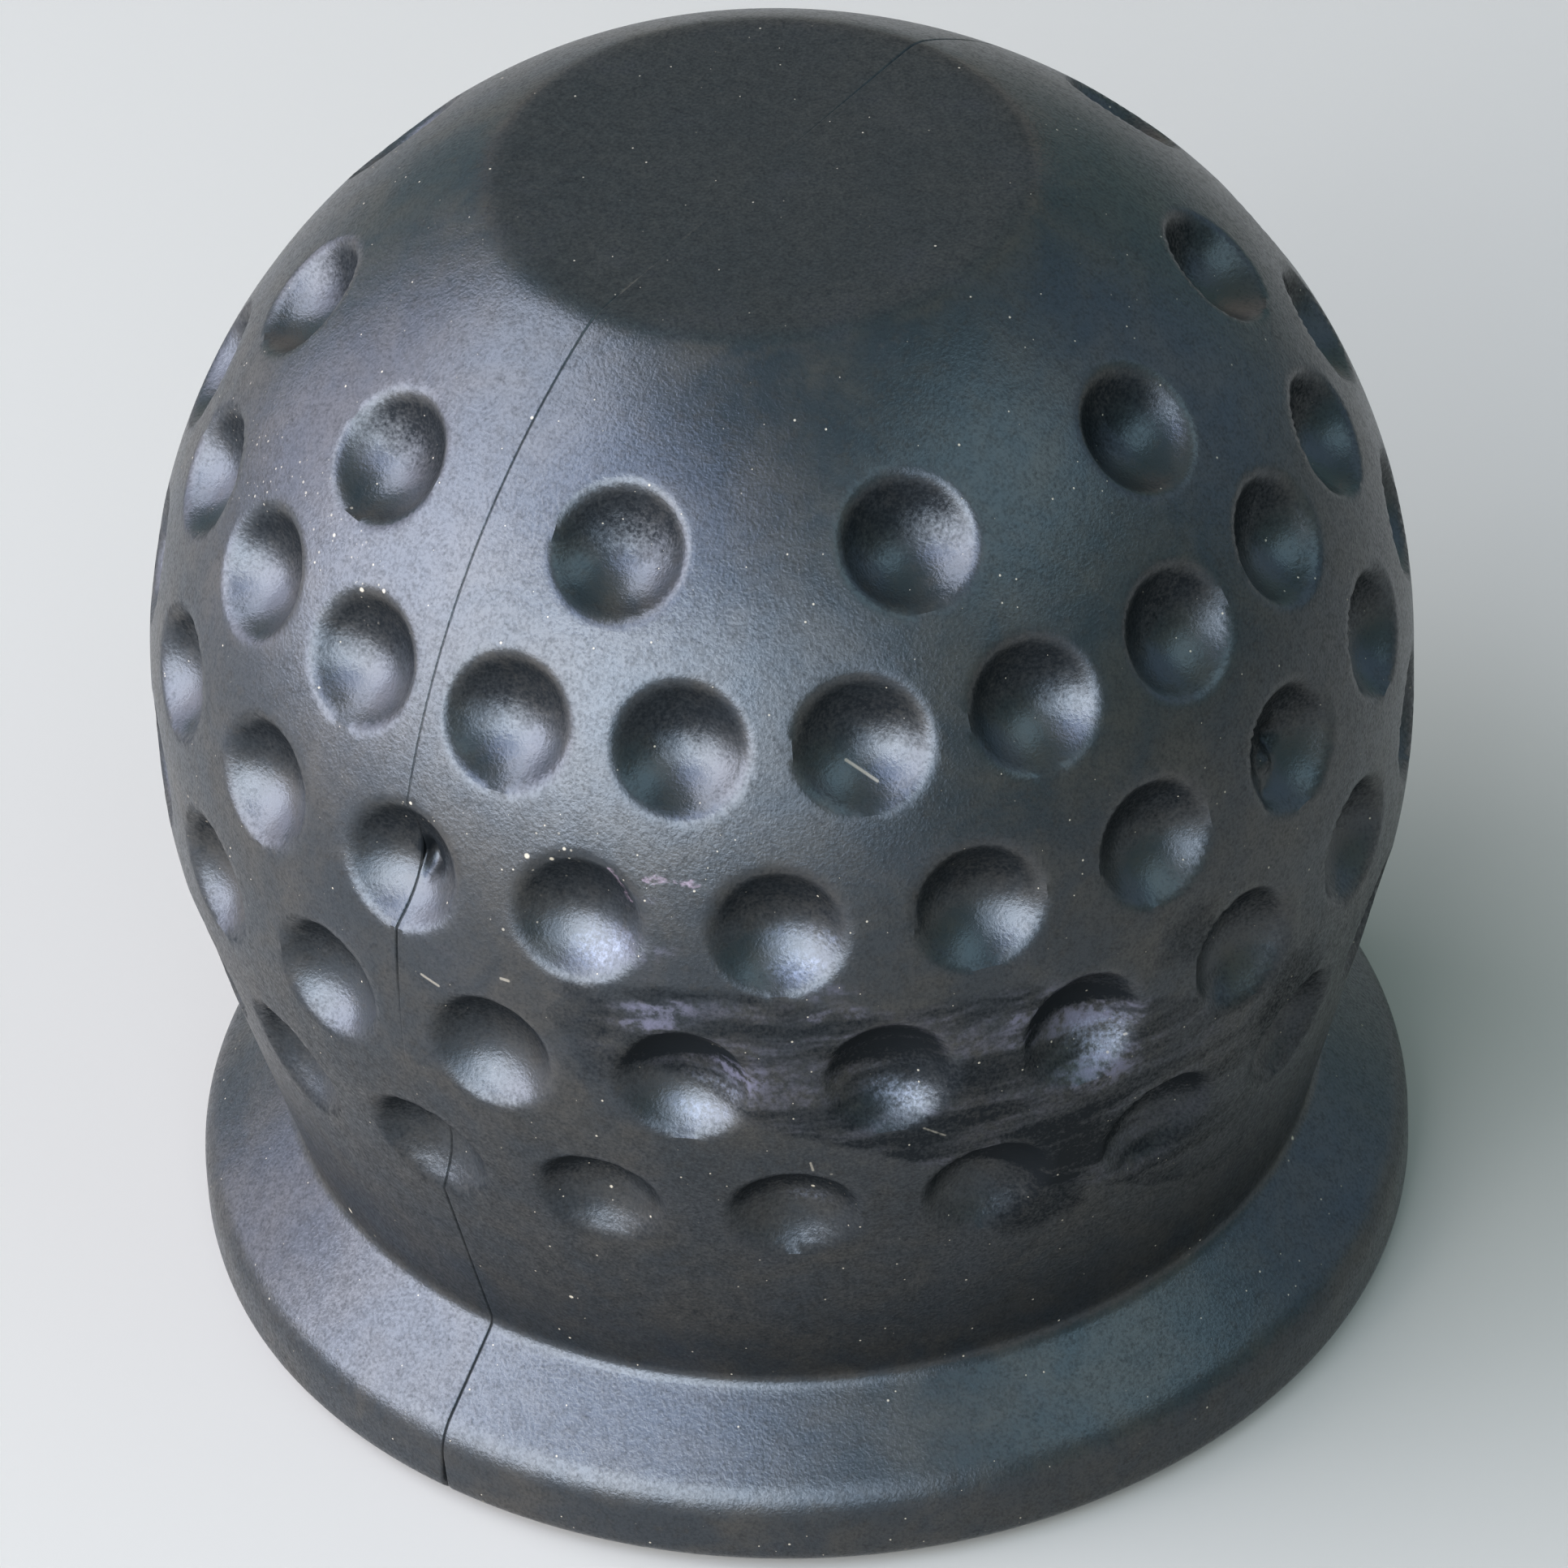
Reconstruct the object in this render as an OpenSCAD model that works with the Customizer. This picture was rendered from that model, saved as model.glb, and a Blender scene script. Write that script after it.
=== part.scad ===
// Dimpled rubber cap that pushes over a 50 mm coupling ball.
// Two moulded half shells are bonded on a plane through the axis and close round a
// softer socket liner. +Z is up, the foot stands on z = 0, and the axis is the Z axis.

/* [Socket liner] */
// Diameter of the spherical socket, which takes a 50 mm ball
socket_d = 50.4; // [44:0.2:62]
// Thickness of the liner round the socket
liner_wall = 5.1; // [3:0.1:8]
// How far the lip of the mouth reaches in under the ball
grip_lap = 4.2; // [2:0.1:6]
// Height of the straight land inside the mouth
mouth_land = 4; // [2:0.5:6]
// Height of the lead-in cone below the land
lead_h = 4; // [2:0.5:6]
// Thickness of the liner's lower edge, outside the lead-in cone
lead_edge = 2.5; // [1.5:0.1:3.5]
// Number of slits that let the lip stretch over the ball
slits = 6; // [3:1:12]
// Width of a slit
slit_w = 1.6; // [0.8:0.1:3]
// How far the slits run up past the mouth
slit_run = 2; // [1:0.5:5]

/* [Ball] */
// Thickness of the half shells round the liner
shell_wall = 4.7; // [3.6:0.1:8]
// Height of the straight belt at the widest place
belt_h = 3.2; // [0.4:0.2:6]
// Height of the middle of the belt above the base
belt_z = 36.4; // [32:0.2:44]
// Thickness of the crown, between the liner and the flat top
crown_wall = 3.1; // [2:0.1:3.6]
// Radius that rolls the flat top into the ball
crown_edge_r = 4; // [1:0.5:8]

/* [Foot] */
// Angle of the neck's taper below the ball
neck_draft = 15; // [8:1:20]
// Angle at which the neck leaves the ball
neck_break = 3.5; // [2:0.5:6]
// Height of the corner where the neck meets the foot
foot_h = 9.5; // [7:0.1:12]
// How far the foot stands out past the neck
foot_flare = 5.3; // [4.5:0.1:12]
// Height of the widest line of the foot
rim_h = 3.4; // [2.4:0.1:4.5]
// Radius of the foot's upper edge
shoulder_r = 3; // [0.5:0.1:3.2]
// Chamfer at the foot's lower edge
base_chamfer = 1; // [0.4:0.1:2]
// Gap that lets the ball pass up the skirt, on the radius
skirt_clearance = 0.8; // [0.4:0.1:2]
// Width of the ledge above the skirt, which the liner's collar sits on
ledge = 1; // [0.5:0.1:1.5]
// Chamfer at the bottom of the skirt's bore
skirt_chamfer = 1; // [0.4:0.1:1.5]

/* [Dimples] */
// Diameter of a dimple at its rim
dimple_d = 7.4; // [4:0.1:9]
// Depth of a dimple below its rim
dimple_depth = 1.8; // [0.6:0.1:2]
// Dimples in a full row
dimples_round = 20; // [12:2:20]
// Number of rows, of which the top one has every second dimple
rows = 5; // [2:1:5]
// Distance from row to row, measured over the surface
row_pitch = 10.1; // [9.6:0.1:12]
// Distance of the second row below the middle of the belt, over the surface
row_drop = 0.9; // [0:0.1:3]

/* [Hidden] */
$fn = 96;
rubber = "#2c3036";
liner_rubber = "#3b3b3d";
cut = 0.01; // how far a cutter runs past the face that it opens
seat = 0.02; // how far a rounding circle stands through the faces that it joins
full_turn = 360;

socket_r = socket_d / 2;
liner_r = socket_r + liner_wall;
ball_r = liner_r + shell_wall;
half_belt = belt_h / 2;

// Flat top: the roll is a circle that touches the flat and, from inside, the ball.
top_z = belt_z + liner_r + crown_wall;
roll_z = top_z - crown_edge_r;
upper_z = belt_z + half_belt;
flat_r = sqrt(pow(ball_r - crown_edge_r, 2) - pow(roll_z - upper_z, 2));
roll_end = [0, upper_z] + [flat_r, roll_z - upper_z] * ball_r / (ball_r - crown_edge_r);

// Neck: a cone that starts just inside the lower ball and ends at the foot's corner.
lower_z = belt_z - half_belt;
neck_start = [0, lower_z] + ball_r * cos(neck_break) * [cos(neck_draft), -sin(neck_draft)];
neck_r = neck_start.x - (neck_start.y - foot_h) * tan(neck_draft);
neck_corner = [neck_r, foot_h];

// Foot: its slope runs from the corner on a tangent to the shoulder's circle.
foot_r = neck_r + foot_flare;
shoulder = [foot_r - shoulder_r, rim_h];
to_shoulder = shoulder - neck_corner;
foot_slope = -atan2(to_shoulder.y, to_shoulder.x) - asin(shoulder_r / norm(to_shoulder));
slope_end = shoulder + shoulder_r * [sin(foot_slope), cos(foot_slope)];

// Skirt and mouth.
skirt_r = socket_r + skirt_clearance;
mouth_r = socket_r - grip_lap;
mouth_z = belt_z - sqrt(pow(socket_r, 2) - pow(mouth_r, 2));
land_z = mouth_z - mouth_land;
liner_base_z = land_z - lead_h;
collar_r = skirt_r + ledge;
lead_r = collar_r - lead_edge;

// Dimples: each is a ball pressed in along the surface's normal.
dimple_r = dimple_d / 2;
dimple_ball_r = (pow(dimple_r, 2) + pow(dimple_depth, 2)) / (2 * dimple_depth);
dimple_reach = sqrt(pow(ball_r, 2) - pow(dimple_r, 2)) + dimple_ball_r - dimple_depth;
step = full_turn / dimples_round;

// The flat crown and its rolled edge. It reaches down into the ball.
module crown_section() {
  translate([0, belt_z])
    square([flat_r, top_z - belt_z]);
  translate([flat_r, roll_z])
    circle(crown_edge_r + seat);
}

// The part of the ball's disc between two heights, to the right of the axis.
module ball_zone(centre_z, from_z, to_z) {
  intersection() {
    translate([0, centre_z])
      circle(ball_r);
    translate([0, from_z])
      square([2 * ball_r, to_z - from_z]);
  }
}

// Upper and lower halves of the ball with the belt between them.
module ball_section() {
  ball_zone(upper_z, lower_z, roll_end.y);
  ball_zone(lower_z, neck_start.y, upper_z);
  translate([0, lower_z])
    square([ball_r, belt_h]);
}

// Neck cone, foot slope and the foot's rounded shoulder.
module foot_section() {
  polygon([
    [0, lower_z], neck_start, neck_corner, slope_end, shoulder, [foot_r, rim_h],
    [foot_r, base_chamfer], [foot_r - base_chamfer, 0], [0, 0]
  ]);
  translate(shoulder)
    circle(shoulder_r + seat);
}

module outer_body() {
  rotate_extrude()
    crown_section();
  rotate_extrude()
    ball_section();
  rotate_extrude()
    foot_section();
}

// Space that the liner fills, and the skirt's bore below it.
module liner_space() {
  translate([0, 0, belt_z])
    sphere(liner_r);
  translate([0, 0, liner_base_z])
    cylinder(h = belt_z - liner_base_z, r = collar_r);
  translate([0, 0, -cut])
    cylinder(h = belt_z, r = skirt_r);
  translate([0, 0, -cut])
    cylinder(h = skirt_chamfer + cut, r1 = skirt_r + skirt_chamfer + cut, r2 = skirt_r);
}

// One dimple, at a height given as an arc over the surface and at an angle from -Y.
module dimple(arc, angle) {
  side = arc < 0 ? -1 : 1;
  lift = side * max(abs(arc) - half_belt, 0) * full_turn / (2 * PI * ball_r);
  rotate(angle)
    translate([0, -dimple_reach * cos(lift), belt_z + side * min(abs(arc), half_belt)
      + dimple_reach * sin(lift)])
      sphere(dimple_ball_r);
}

// Rows are half a step apart. The top row leaves out every second dimple, so that it
// stands clear of the parting plane.
module dimple_rows() {
  for (row = [0 : rows - 1]) {
    top = row == rows - 1;
    start = top ? step : (row % 2) * step / 2;
    count = top ? dimples_round / 2 : dimples_round;
    for (i = [0 : count - 1])
      dimple((row - 1) * row_pitch - row_drop, start + i * full_turn / count);
  }
}

// The whole outer shell, before the parting plane cuts it.
module shell() {
  difference() {
    outer_body();
    liner_space();
    dimple_rows();
  }
}

// Half space on one side of the parting plane, which is x = 0.
module side_of_parting(side) {
  width = ball_r + foot_flare;
  translate([side < 0 ? -width : 0, -width, -cut])
    cube([width, 2 * width, top_z + 2 * cut]);
}

module left_half() {
  color(rubber)
    intersection() {
      shell();
      side_of_parting(-1);
    }
}

module right_half() {
  color(rubber)
    intersection() {
      shell();
      side_of_parting(1);
    }
}

// Outline of the liner: the outer ball and the collar that lines the skirt's top.
module liner_body() {
  intersection() {
    union() {
      translate([0, 0, belt_z])
        sphere(liner_r);
      cylinder(h = belt_z, r = collar_r);
    }
    translate([0, 0, liner_base_z])
      cylinder(h = top_z, r = 2 * liner_r);
  }
}

// Slits from the lower edge up through the lip into the socket.
module lip_slits() {
  for (i = [0 : slits - 1])
    rotate((i + 0.5) * full_turn / slits)
      translate([-slit_w / 2, -lead_r, liner_base_z - cut])
        cube([slit_w, lead_r, mouth_z + slit_run - liner_base_z + cut]);
}

// Soft cup with a spherical socket, a lip under the ball and a lead-in cone.
module socket_liner() {
  color(liner_rubber)
    difference() {
      liner_body();
      translate([0, 0, belt_z])
        sphere(socket_r);
      translate([0, 0, liner_base_z - cut])
        cylinder(h = belt_z - liner_base_z, r = mouth_r);
      translate([0, 0, liner_base_z - cut])
        cylinder(h = lead_h + cut, r1 = lead_r, r2 = mouth_r);
      lip_slits();
    }
}

left_half();
right_half();
socket_liner();
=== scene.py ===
"""Dimpled rubber cap for a coupling ball, standing on a pale studio floor.

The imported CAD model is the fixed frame. The two half shells and the socket liner are
rebuilt here as fine numpy surfaces with rolled edges, soft dimple rims, a parting
groove and small moulding faults, and get procedural rubber finishes. Lengths inside
the surface maths are in millimetres, and become metres when a mesh is made.
"""

from math import atan2, cos, pi, radians, sin, sqrt

import bpy
import numpy as np
from bpy.props import FloatProperty, FloatVectorProperty, IntProperty, PointerProperty
from mathutils import Matrix, Vector


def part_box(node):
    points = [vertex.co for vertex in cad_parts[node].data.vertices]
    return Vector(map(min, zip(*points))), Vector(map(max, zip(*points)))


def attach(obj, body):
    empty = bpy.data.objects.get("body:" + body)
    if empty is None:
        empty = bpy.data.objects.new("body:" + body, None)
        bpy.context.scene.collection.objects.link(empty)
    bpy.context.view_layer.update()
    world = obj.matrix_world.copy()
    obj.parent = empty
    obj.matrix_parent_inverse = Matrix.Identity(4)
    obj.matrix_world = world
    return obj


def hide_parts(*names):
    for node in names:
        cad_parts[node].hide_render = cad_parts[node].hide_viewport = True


bl_info = {
    "name": "Dimpled Ball Cap",
    "version": (1, 0, 0),
    "blender": (4, 5, 0),
    "location": "View3D > Sidebar > Ball Cap",
    "description": "Builds a dimpled rubber cap for a coupling ball, and its studio",
    "category": "Object",
}

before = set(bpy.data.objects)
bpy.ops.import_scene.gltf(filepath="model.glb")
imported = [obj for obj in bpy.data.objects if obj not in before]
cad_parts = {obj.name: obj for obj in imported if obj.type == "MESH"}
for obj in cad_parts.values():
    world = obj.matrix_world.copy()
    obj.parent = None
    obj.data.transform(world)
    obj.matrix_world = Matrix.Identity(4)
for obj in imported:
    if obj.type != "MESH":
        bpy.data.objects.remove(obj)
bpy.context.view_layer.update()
MM = 0.001

SHELL_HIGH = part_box("right_half")[1]
LINER_LOW, LINER_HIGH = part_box("socket_liner")
BALL_R = SHELL_HIGH.y
CROWN_TOP = SHELL_HIGH.z
LINER_R = LINER_HIGH.x
LINER_BASE = LINER_LOW.z
BELT_Z = LINER_HIGH.z - LINER_R


def length(name, description, default):
    """A length property in metres."""
    return FloatProperty(
        name=name, description=description, default=default, min=0.0, unit="LENGTH"
    )


def colour(name, description, default):
    """A colour property."""
    return FloatVectorProperty(
        name=name, description=description, default=default, size=3, min=0.0, max=1.0,
        subtype="COLOR",
    )


# ---------------------------------------------------------------------------
# Sizes and colours


class CAP_PG_shell(bpy.types.PropertyGroup):
    """Sizes of the two half shells."""

    belt: length("Belt height", "Height of the straight belt at the widest place", 0.0032)
    crown_roll: length("Crown roll", "Radius that rolls the flat top into the ball", 0.004)
    neck_draft: FloatProperty(
        name="Neck draft", description="Taper of the neck below the ball",
        default=radians(15), subtype="ANGLE",
    )
    neck_break: FloatProperty(
        name="Neck break", description="Angle at which the neck leaves the ball",
        default=radians(3.5), subtype="ANGLE",
    )
    foot_height: length("Foot height", "Height of the corner between neck and foot", 0.0095)
    foot_flare: length("Foot flare", "How far the foot stands out past the neck", 0.0053)
    rim_height: length("Rim height", "Height of the foot's widest line", 0.0034)
    shoulder: length("Shoulder radius", "Radius of the foot's upper edge", 0.003)
    base_edge: length("Base edge", "Size of the foot's lower edge", 0.001)
    skirt: length("Skirt radius", "Radius of the bore inside the foot", 0.026)
    collar: length("Collar radius", "Radius of the bore above the ledge", 0.027)
    dimple_d: length("Dimple diameter", "Diameter of a dimple at its rim", 0.0074)
    dimple_depth: length("Dimple depth", "Depth of a dimple below its rim", 0.0018)
    rim_softness: length("Rim softness", "Depth over which a dimple's rim is rounded", 0.00014)
    row_pitch: length("Row pitch", "Distance from row to row over the surface", 0.0101)
    row_drop: length("Row drop", "Distance of the second row below the belt", 0.0009)
    dimples_round: IntProperty(
        name="Dimples in a row", description="Number of dimples in a full row",
        default=20, min=4,
    )
    groove_depth: length("Groove depth", "Depth of the parting groove", 0.00016)
    groove_width: length("Groove width", "Half width of the parting groove", 0.00006)


class CAP_PG_liner(bpy.types.PropertyGroup):
    """Sizes of the socket liner."""

    socket_r: length("Socket radius", "Radius of the spherical socket", 0.0252)
    mouth_r: length("Mouth radius", "Radius of the straight land in the mouth", 0.021)
    mouth_land: length("Mouth land", "Height of the straight land", 0.004)
    lead_edge: length("Lead-in edge", "Thickness of the liner's lower edge", 0.0025)
    edge_round: length("Edge rounding", "How far the lip's edges are rounded", 0.0004)
    play: length("Play", "Gap between the liner and the shell", 0.00002)
    slit_width: length("Slit width", "Width of a slit in the lip", 0.0016)
    slit_run: length("Slit run", "How far a slit runs up past the mouth", 0.002)
    slits: IntProperty(
        name="Slits", description="Number of slits in the lip", default=6, min=2
    )


class CAP_PG_finish(bpy.types.PropertyGroup):
    """Colours of the rubber."""

    rubber: colour("Rubber", "Black rubber of the half shells", (0.0065, 0.0078, 0.0085))
    rubber_warm: colour("Worn rubber", "Browner patches of the shells", (0.0155, 0.0128, 0.0095))
    crown: colour("Crown", "Greener black of the flat crown", (0.005, 0.0078, 0.0072))
    scuff: colour("Smear", "Rubbed smears with a violet cast", (0.05, 0.044, 0.058))
    # Also paints a pale highlight ring round each dimple's rim.
    haze_and_rim_sheen: colour("Bloom", "Faint haze on old rubber", (0.026, 0.026, 0.028))
    # Partly real grit, partly a painted highlight in the lower halves of some dimples.
    rubbed: colour("Rubbed grit", "Bright grit rubbed into the dimples", (0.11, 0.115, 0.14))
    pink: colour("Pink scratch", "Scratches with a pink cast", (0.22, 0.15, 0.17))
    dust: colour("Dust", "Pale grit on the surface", (0.26, 0.21, 0.145))
    liner: colour("Liner rubber", "Softer rubber of the liner", (0.018, 0.018, 0.019))


class CAP_PG_stage(bpy.types.PropertyGroup):
    """Camera, lights and floor."""

    azimuth: FloatProperty(
        name="Azimuth", description="Camera's turn about the axis, from the parting line",
        default=radians(37.6), subtype="ANGLE",
    )
    elevation: FloatProperty(
        name="Elevation", description="Camera's height angle", default=0.6765,
        subtype="ANGLE",
    )
    roll: FloatProperty(
        name="Roll", description="Camera's tilt", default=0.0515, subtype="ANGLE"
    )
    pitch: FloatProperty(
        name="Pitch", description="Camera's nod away from the ball's centre",
        default=-0.0120, subtype="ANGLE",
    )
    yaw: FloatProperty(
        name="Yaw", description="Camera's turn away from the ball's centre",
        default=0.0005, subtype="ANGLE",
    )
    distance: length("Distance", "Camera's distance from the ball's centre", 0.56)
    floor_size: length("Floor size", "Width of the floor", 4.0)
    floor_gap: length("Floor gap", "Clear gap between the cap and the floor", 0.0001)
    floor: colour("Floor", "Pale warm floor", (0.28, 0.245, 0.2))


# ---------------------------------------------------------------------------
# Surfaces


def arc(centre, radius, from_deg, to_deg, count=120):
    """Points centre + radius * (cos t, sin t), with t even between two angles."""
    t = np.radians(np.linspace(from_deg, to_deg, count))
    return np.stack([centre[0] + radius * np.cos(t), centre[1] + radius * np.sin(t)], 1)


def softened(points, step, spread):
    """The polyline at an even step, each point the Gaussian mean of its surroundings.

    The line is extended by its own point reflection at both ends, so the ends stay.
    """
    gap = np.hypot(*np.diff(points, axis=0).T)
    points = points[np.concatenate([[True], gap > 1e-9])]
    run = run_length(points)
    s = np.linspace(0, run[-1], int(run[-1] / step) + 1)
    line = np.stack([np.interp(s, run, points[:, k]) for k in (0, 1)], 1)
    reach = int(4 * spread / step)
    kernel = np.exp(-0.5 * (np.arange(-reach, reach + 1) * step / spread) ** 2)
    kernel /= kernel.sum()
    head = 2 * line[0] - line[reach:0:-1]
    tail = 2 * line[-1] - line[-2 : -reach - 2 : -1]
    long = np.concatenate([head, line, tail])
    return np.stack([np.convolve(long[:, k], kernel, "valid") for k in (0, 1)], 1)


def run_length(line):
    """Distance along a polyline at each of its points."""
    return np.concatenate([[0], np.cumsum(np.hypot(*np.diff(line, axis=0).T))])


def spaced(places, spacing, count):
    """Count places along a run whose gaps follow a spacing given at some places."""
    fine = np.linspace(places[0], places[-1], 8001)
    weight = 1 / np.interp(fine, places, spacing)
    total = np.concatenate([[0], np.cumsum((weight[1:] + weight[:-1]) / 2)])
    return np.interp(np.linspace(0, total[-1], count), total, fine)


def soft_max(value, width):
    """max(value, 0), with a parabola of the given half width across the bend."""
    bend = (value + width) ** 2 / (4 * width)
    return np.where(value > width, value, np.where(value < -width, 0.0, bend))


def add_mesh(name, points, faces, sharp_deg):
    """A mesh object at the origin from points in mm; sharp edges stay sharp."""
    mesh = bpy.data.meshes.new(name)
    mesh.from_pydata((points * MM).tolist(), [], faces)
    mesh.shade_smooth()
    mesh.set_sharp_from_angle(angle=radians(sharp_deg))
    mesh.validate()
    piece = bpy.data.objects.new(name, mesh)
    bpy.context.scene.collection.objects.link(piece)
    return piece


def outward(points, faces_by_size):
    """The face lists, all turned round if the volume they enclose is negative."""
    volume = 0.0
    for block in faces_by_size:
        a = points[block[:, 0]]
        for k in range(1, block.shape[1] - 1):
            b, c = points[block[:, k]], points[block[:, k + 1]]
            volume += np.einsum("ij,ij->", a, np.cross(b, c)) / 6
    flip = volume < 0
    return [f for block in faces_by_size for f in (block[:, ::-1] if flip else block).tolist()]


# ---------------------------------------------------------------------------
# Half shells


def shell_outline(size):
    """The half shell's outer outline from the crown's centre to the skirt's edge, in mm.

    Flat crown, roll, upper ball, belt, lower ball, neck cone, foot slope, shoulder, rim,
    base. The same lines and circles as the frame, softened by a third of a millimetre.
    """
    ball, belt = BALL_R / MM, size.belt / MM / 2
    belt_z, top = BELT_Z / MM, CROWN_TOP / MM
    roll = size.crown_roll / MM
    upper, lower = belt_z + belt, belt_z - belt
    roll_z = top - roll
    flat = sqrt((ball - roll) ** 2 - (roll_z - upper) ** 2)
    roll_end = np.degrees(atan2(roll_z - upper, flat))
    draft, turn = size.neck_draft, size.neck_break
    chord = ball * cos(turn)
    start = (chord * cos(draft), lower - chord * sin(draft))
    foot_h = size.foot_height / MM
    neck = start[0] - (start[1] - foot_h) * np.tan(draft)
    foot = neck + size.foot_flare / MM
    edge = size.shoulder / MM
    shoulder = (foot - edge, size.rim_height / MM)
    over = np.subtract(shoulder, (neck, foot_h))
    slope = -atan2(over[1], over[0]) - np.arcsin(edge / np.hypot(*over))
    chamfer = size.base_edge / MM
    leave = -np.degrees(draft - turn)
    parts = [
        [(0, top), (flat, top)],
        arc((flat, roll_z), roll, 90, roll_end),
        arc((0, upper), ball, roll_end, 0, 400),
        arc((0, lower), ball, 0, leave, 100),
        [start, (neck, foot_h)],
        arc(shoulder, edge, 90 - np.degrees(slope), 0),
        [(foot, chamfer), (foot - chamfer, 0), (size.skirt / MM + 1, 0)],
    ]
    return softened(np.concatenate([np.array(p, float) for p in parts]), 0.02, 0.3)


# Points of the inner outline on the collar's wall and on the skirt's bore
WALL_POINTS, BORE_POINTS = 4, 14


def shell_inside(size, count):
    """The half shell's inner outline from the liner's crown down to the skirt's edge.

    The liner's ball, its collar, the ledge it stands on, the skirt and a small chamfer.
    Enough points lie on the skirt to keep each near the level of the outer outline's point
    with the same share, so that the parting faces between them stay within the wall.
    """
    inner, skirt, collar = LINER_R / MM, size.skirt / MM, size.collar / MM
    base, chamfer = LINER_BASE / MM, size.base_edge / MM
    turn = -np.degrees(np.arccos(collar / inner))
    bend = arc((0, BELT_Z / MM), inner, 90, turn, count - WALL_POINTS - BORE_POINTS - 1)
    wall = np.linspace((collar, bend[-1, 1]), (collar, base), WALL_POINTS + 1)[1:]
    bore = np.linspace((skirt, base), (skirt, chamfer), BORE_POINTS)
    return np.concatenate([bend, wall, bore, [(skirt + chamfer, 0.0)]])


WOBBLE = 0.03


def wobble(points):
    """Slow unevenness of moulded rubber: three crossed sine waves, WOBBLE mm high each."""
    x, y, z = points[..., 0], points[..., 1], points[..., 2]
    return WOBBLE * (
        np.sin(0.21 * x + 0.13 * z + 1.0)
        + np.sin(0.17 * y - 0.23 * z + 0.4)
        + np.sin(0.11 * x + 0.19 * y + 0.07 * z)
    )


DIMPLE_ROWS = 5
DIMPLE_DRIFT = 0.06  # mm that a dimple strays from its place
DIMPLE_UNEVEN = 0.05  # mm that a dimple's depth varies by
RIM_BAND = 0.45  # mm from a rim in which the surface counts as near it


def dimple_depth(size, turn, radius, height, side, chance):
    """Depth of the pressed-in balls below the surface, for points at turn from -Y.

    Each row folds the turn to its nearest dimple. With d the distance from that dimple's
    axis and t the height along it, a ball of radius b pressed in to depth T gives
    t - (b - T) + sqrt(b^2 - d^2), and the rows are joined by a soft maximum. Also gives
    how near a point is to a rim, and its height in its dimple from -1 to 1.
    """
    ball, belt, belt_z = BALL_R / MM, size.belt / MM / 2, BELT_Z / MM
    rim, deep = size.dimple_d / MM / 2, size.dimple_depth / MM
    press = (rim**2 + deep**2) / (2 * deep)
    reach = sqrt(ball**2 - rim**2) + press - deep
    total = np.zeros(np.broadcast(turn, radius).shape)
    near_rim, rise = np.zeros_like(total), np.zeros_like(total)
    for row in range(DIMPLE_ROWS):
        along = (row - 1) * size.row_pitch / MM - size.row_drop / MM
        sign = -1 if along < 0 else 1
        lift = sign * max(abs(along) - belt, 0) / ball
        axis_z = belt_z + sign * min(abs(along), belt)
        top = row == DIMPLE_ROWS - 1
        count = size.dimples_round // (2 if top else 1)
        step = 2 * pi / count
        start = pi / size.dimples_round * (2 if top else row % 2)
        index = np.floor((turn - start) / step + 0.5)
        which = (side * index - (start > 0) * (side < 0)).astype(int) % count
        vary = chance[row][which]
        fold = turn - start - index * step + vary[..., 0] * DIMPLE_DRIFT / ball
        px, py = radius * np.sin(fold), radius * np.cos(fold)
        pz = height - axis_z + vary[..., 1] * DIMPLE_DRIFT
        up = py * cos(lift) + pz * sin(lift)
        above = pz * cos(lift) - py * sin(lift)
        off2 = px**2 + above**2
        bowl = np.sqrt(np.clip(press**2 - off2, 0, None))
        uneven = vary[..., 2] * DIMPLE_UNEVEN * np.clip(1 - off2 / rim**2, 0, 1)
        depth = up - reach + bowl + uneven
        depth = np.where((off2 < press**2) & (up > 0), depth, -1.0)
        total += soft_max(depth, size.rim_softness / MM)
        facing = up > 0
        near_rim += np.exp(-(((np.sqrt(off2) - rim) / RIM_BAND) ** 2)) * facing
        rise += np.where((off2 < rim**2) & facing, above / rim, 0)
    return total, near_rim, rise


# Strength of the parting groove on the front and back, at distances along the outline (mm)
GROOVE_STATIONS = (0, 6, 12, 15, 30, 44, 51, 53, 56, 62, 66, 69, 74, 79, 84, 92, 94, 120)
GROOVE_FRONT = (0, 0, 0.1, 0.35, 0.4, 0.35, 0.9, 0.8, 0.15, 0, 0.2, 0.7, 0.8, 0.7, 0.7, 0.8, 3, 3)
GROOVE_BACK = (0, 0.1, 0.4, 0.7, 0.9, 0.6, 0.9, 0.9, 0.7, 0.8, 0.9, 0.8, 0.9, 0.9, 0.9, 1.0, 2, 2)

# Width of the flat ring between the outer rows' end and the bore's edge
BASE_RING = 0.6
# Outer rows: gap from row to row (mm) at distances along the outline, up to BASE_RING of its end
ROW_PLACES = (0, 11.5, 13, 15, 17, 64, 66, 78, 80, 82, 86, 88, 91, 93, 95, 98)
ROW_GAPS = (1.3, 1.2, 0.35, 0.3, 0.36, 0.36, 0.5, 0.6, 0.25, 0.25, 0.5, 0.25, 0.25, 0.5, 0.25,
            0.6, 1.5)
# Columns: gap from column to column (mm) at distances from the parting plane
COLUMN_PLACES = (0, 0.2, 0.6, 1.5, 3)
COLUMN_GAPS = (0.025, 0.04, 0.1, 0.3, 0.42)
# Steps of the inner wall down the outline and round the half turn, and outer steps to each
INNER_ROWS, INNER_COLUMNS, FINE = 57, 76, 4
# The surface lies this far inside the frame's (mm), and meets it over these distances
SINK, MEETS_BASE = 0.05, (94, 97)
CHANCE_SEED = 40

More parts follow.
